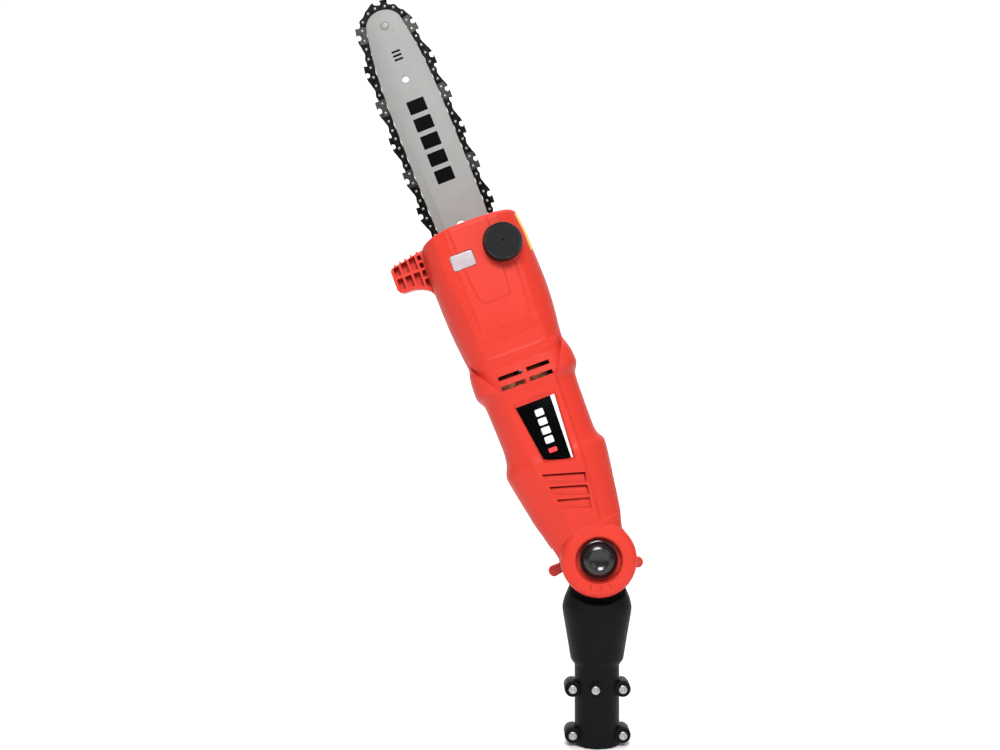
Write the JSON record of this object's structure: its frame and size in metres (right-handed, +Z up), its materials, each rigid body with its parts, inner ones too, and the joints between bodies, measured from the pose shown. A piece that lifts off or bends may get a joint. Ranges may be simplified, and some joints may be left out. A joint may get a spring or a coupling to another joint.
{
  "type": "pole saw head",
  "caption": "Tilting electric pole saw head with guide bar, chain, oil filler, branch stop and a black clamp socket for its pole.",
  "frame": {"origin": "centre of the pole socket mouth", "axes": "+Z up along the pole towards the saw, +X to the right seen from the oil cap side, +Y away from the oil cap side; the tilt hinge turns about Y"},
  "size_m": [0.3, 0.1155, 0.7644],
  "materials": {
    "housing_red": "satin moulded",
    "knob_red": "gloss moulded",
    "adapter_black": "satin moulded",
    "button_black": "gloss",
    "cover_black": "textured",
    "bar_steel": "ground satin",
    "chain_steel": "blued",
    "cutter_chrome": "chrome",
    "screw_steel": "zinc plated",
    "gear_steel": "hardened",
    "bearing_steel": "ground",
    "cast_aluminium": "as cast",
    "lamination": "stacked sheet",
    "copper": "enamelled wire",
    "rubber": "matte",
    "tank_plastic": "blow moulded",
    "window_milky": "translucent",
    "label_black": "printed film",
    "label_yellow": "printed film",
    "phenolic": "filled plastic"
  },
  "bodies": {
    "pole_adapter": {"adapter_front_shell": "adapter_black", "adapter_rear_shell": "adapter_black", "clamp_screw_1": "screw_steel", "clamp_screw_2": "screw_steel", "clamp_screw_3": "screw_steel", "clamp_screw_4": "screw_steel", "clamp_nut_1": "screw_steel", "clamp_nut_2": "screw_steel", "clamp_nut_3": "screw_steel", "clamp_nut_4": "screw_steel", "pole_locating_screw": "screw_steel", "hinge_bolt": "screw_steel", "lock_spring": "screw_steel"},
    "lock_gear": {"lock_gear": "gear_steel"},
    "lock_button": {"lock_button": "button_black"},
    "knob_washer": {"knob_washer": "screw_steel"},
    "wing_knob": {"wing_knob": "knob_red"},
    "motor_rotor": {"motor_shaft": "bearing_steel", "armature": "copper", "commutator": "copper", "cooling_fan": "phenolic", "drive_pinion": "gear_steel"},
    "spindle": {"spindle_shaft": "bearing_steel", "crown_gear": "gear_steel", "drive_sprocket": "gear_steel"},
    "guide_bar": {"bar_near_plate": "bar_steel", "bar_core_plate": "bar_steel", "bar_far_plate": "bar_steel", "nose_rivet": "bar_steel", "tension_pin_block": "screw_steel"},
    "nose_sprocket": {"nose_sprocket": "gear_steel"},
    "tension_screw": {"tension_screw": "screw_steel"},
    "sprocket_cover": {"sprocket_cover": "cover_black"},
    "cover_nut": {"cover_nut": "screw_steel"},
    "oil_cap_seal": {"oil_cap_seal": "rubber"},
    "oil_cap": {"oil_cap": "adapter_black"},
    "saw_head": {"near_housing": "housing_red", "far_housing": "housing_red", "housing_screw_1": "screw_steel", "housing_screw_2": "screw_steel", "branch_stop": "housing_red", "oil_level_window": "window_milky", "oil_tank": "tank_plastic", "oil_pump": "phenolic", "oil_hose": "rubber", "gear_case": "cast_aluminium", "stator_core": "lamination", "field_coil_right": "copper", "field_coil_left": "copper", "brush_holder_right": "phenolic", "brush_holder_left": "phenolic", "rear_motor_bearing": "bearing_steel", "front_motor_bearing": "bearing_steel", "near_spindle_bearing": "bearing_steel", "far_spindle_bearing": "bearing_steel", "bar_stud": "screw_steel", "bar_pad_plate": "bar_steel", "chain_near_links": "chain_steel", "chain_drive_links": "chain_steel", "chain_far_links": "chain_steel"}
  },
  "joints": [
    {"name": "head_tilt", "type": "hinge", "parent": "pole_adapter", "child": "saw_head", "pos_m": [0, 0, 0.191], "axis": [0, -1, 0], "range_deg": [-20, 40]},
    {"name": "motor_spin", "type": "hinge", "parent": "saw_head", "child": "motor_rotor", "pos_m": [-0.06536, 0, 0.3428], "axis": [-0.342, 0, 0.9397], "continuous": true},
    {"name": "spindle_spin", "type": "hinge", "parent": "saw_head", "child": "spindle", "pos_m": [-0.10521, 0, 0.45227], "axis": [0, 1, 0], "continuous": true},
    {"name": "bar_tension", "type": "slide", "parent": "saw_head", "child": "guide_bar", "axis": [-0.3697, 0, 0.9291], "range_m": [-0.004, 0]},
    {"name": "nose_sprocket_spin", "type": "hinge", "parent": "guide_bar", "child": "nose_sprocket", "pos_m": [-0.2182, 0.021, 0.73622], "axis": [0, 1, 0], "continuous": true},
    {"name": "tension_screw_turn", "type": "hinge", "parent": "saw_head", "child": "tension_screw", "pos_m": [-0.14133, 0.0099, 0.50248], "axis": [-0.3697, 0, 0.9291], "range_deg": [-1801, 1]},
    {"name": "cover_lift_off", "type": "slide", "parent": "saw_head", "child": "sprocket_cover", "axis": [0, 1, 0], "range_m": [0, 0.05]},
    {"name": "cover_nut_turn", "type": "hinge", "parent": "sprocket_cover", "child": "cover_nut", "pos_m": [-0.12499, 0.05, 0.50198], "axis": [0, 1, 0], "continuous": true},
    {"name": "oil_cap_rise", "type": "slide", "parent": "saw_head", "child": "oil_cap_seal", "axis": [0, -1, 0], "range_m": [0, 0.00601]},
    {"name": "oil_cap_turn", "type": "hinge", "parent": "oil_cap_seal", "child": "oil_cap", "pos_m": [-0.09595, -0.053, 0.50726], "axis": [0, -1, 0], "range_deg": [0, 720]},
    {"name": "button_press", "type": "slide", "parent": "saw_head", "child": "lock_button", "axis": [0, 1, 0], "range_m": [0, 0.004], "stiffness_N_per_m": 900, "springref_m": -0.004},
    {"name": "lock_gear_slide", "type": "slide", "parent": "pole_adapter", "child": "lock_gear", "axis": [0, 1, 0], "range_m": [0, 0.00401], "deforming": ["lock_spring"]},
    {"name": "knob_back_off", "type": "slide", "parent": "pole_adapter", "child": "knob_washer", "axis": [0, 1, 0], "range_m": [0, 0.00301]},
    {"name": "wing_knob_turn", "type": "hinge", "parent": "knob_washer", "child": "wing_knob", "pos_m": [0, 0.042, 0.191], "axis": [0, 1, 0], "range_deg": [0, 720]}
  ],
  "couplings": [
    {"joint": "spindle_spin", "follows": "motor_spin", "ratio": -0.25},
    {"joint": "nose_sprocket_spin", "follows": "motor_spin", "ratio": -0.1875},
    {"joint": "tension_screw_turn", "follows": "bar_tension", "rad_per_m": 7854},
    {"joint": "oil_cap_rise", "follows": "oil_cap_turn", "m_per_rad": 0.00047746},
    {"joint": "lock_gear_slide", "follows": "button_press", "ratio": 1},
    {"joint": "knob_back_off", "follows": "wing_knob_turn", "m_per_rad": 0.00023873}
  ]
}
